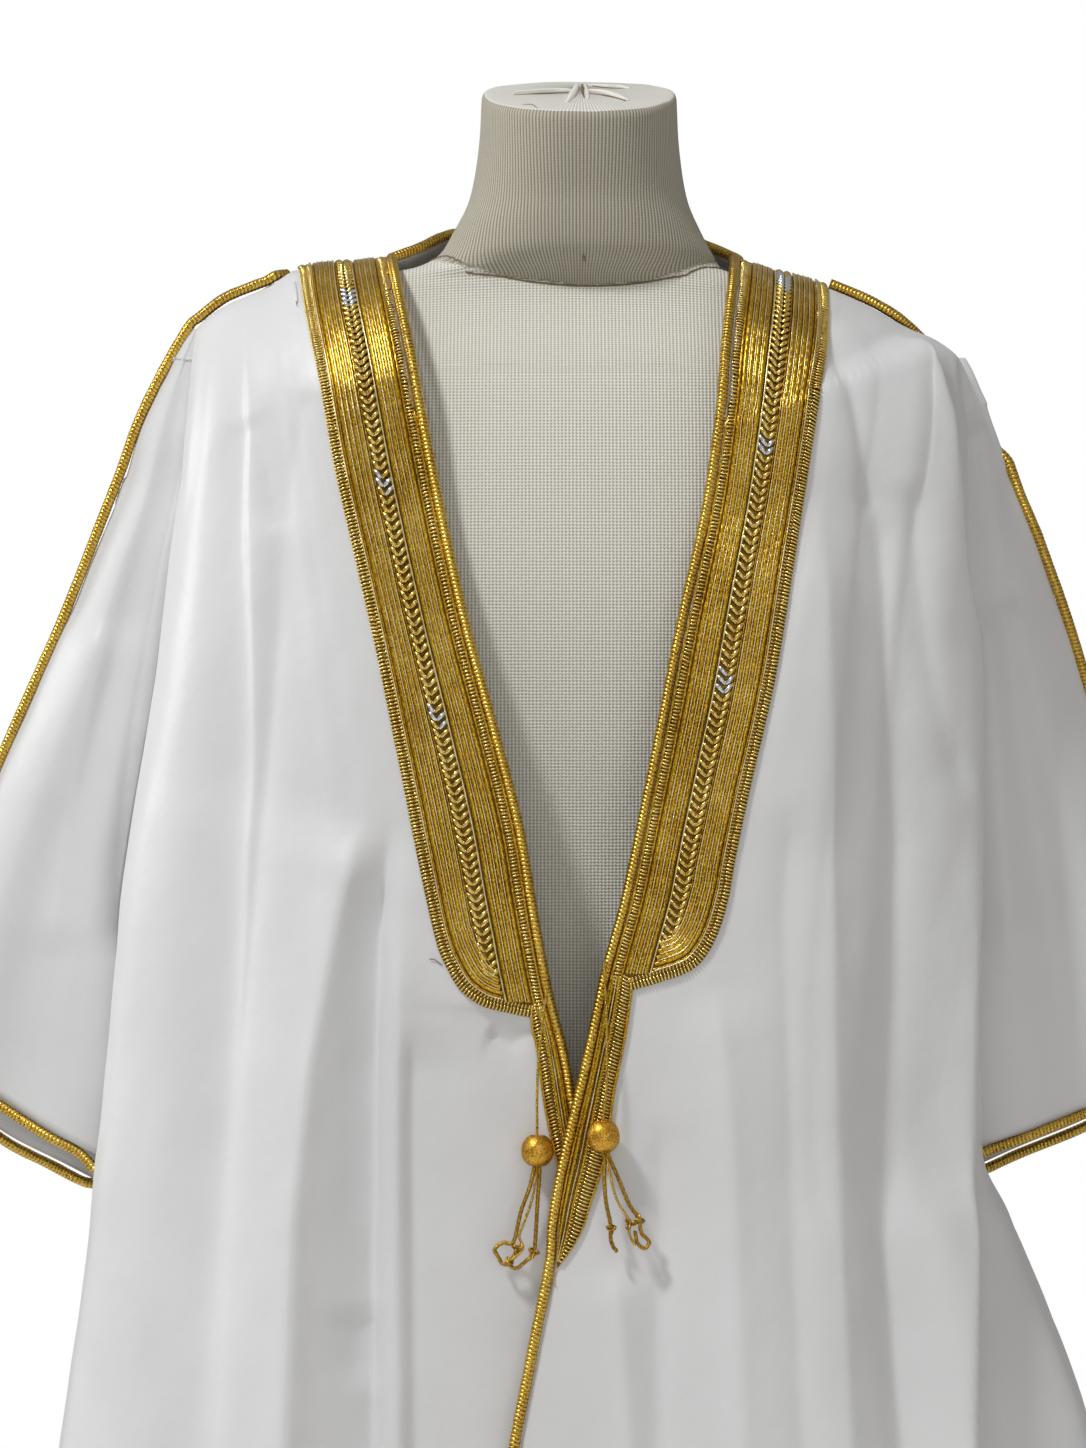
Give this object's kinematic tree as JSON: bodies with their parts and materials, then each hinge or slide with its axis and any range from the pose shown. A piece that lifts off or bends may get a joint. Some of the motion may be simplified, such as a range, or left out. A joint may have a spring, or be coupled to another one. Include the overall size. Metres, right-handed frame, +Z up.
{
  "type": "open abaya cloak with embroidered bands on a limbless dress form",
  "caption": "Wide open white cloak with raised gold front bands, gold cord edges and bead tassels, draped on a limbless linen dress form with pole and round base.",
  "frame": {"origin": "centre of the round base's underside, on the floor", "axes": "+Z up, -Y towards the front of the garment, +X towards the right as seen from the front"},
  "size_m": [0.8704, 0.4273, 1.5913],
  "materials": {
    "satin": "white satin with a soft sheen",
    "gold_thread": "couched metallic gold thread",
    "gold_cord": "wound metallic gold thread",
    "linen": "matt undyed linen jersey",
    "stand": "satin light grey paint"
  },
  "bodies": {
    "root": {"front_left": "satin", "front_right": "satin", "back": "satin", "sleeve_left": "satin", "sleeve_right": "satin", "band_left": "gold_thread", "band_right": "gold_thread", "narrow_band_left": "gold_thread", "narrow_band_right": "gold_thread", "edge_cord_left": "gold_cord", "edge_cord_right": "gold_cord", "neck_cord": "gold_cord", "top_cord_left": "gold_cord", "top_cord_right": "gold_cord", "cuff_cord_left": "gold_cord", "cuff_cord_right": "gold_cord", "tie_left": "gold_cord", "tie_right": "gold_cord", "tassel_left": "gold_cord", "tassel_right": "gold_cord", "form_torso": "linen", "form_cap": "linen", "form_pole": "stand", "form_base": "stand"}
  },
  "joints": []
}
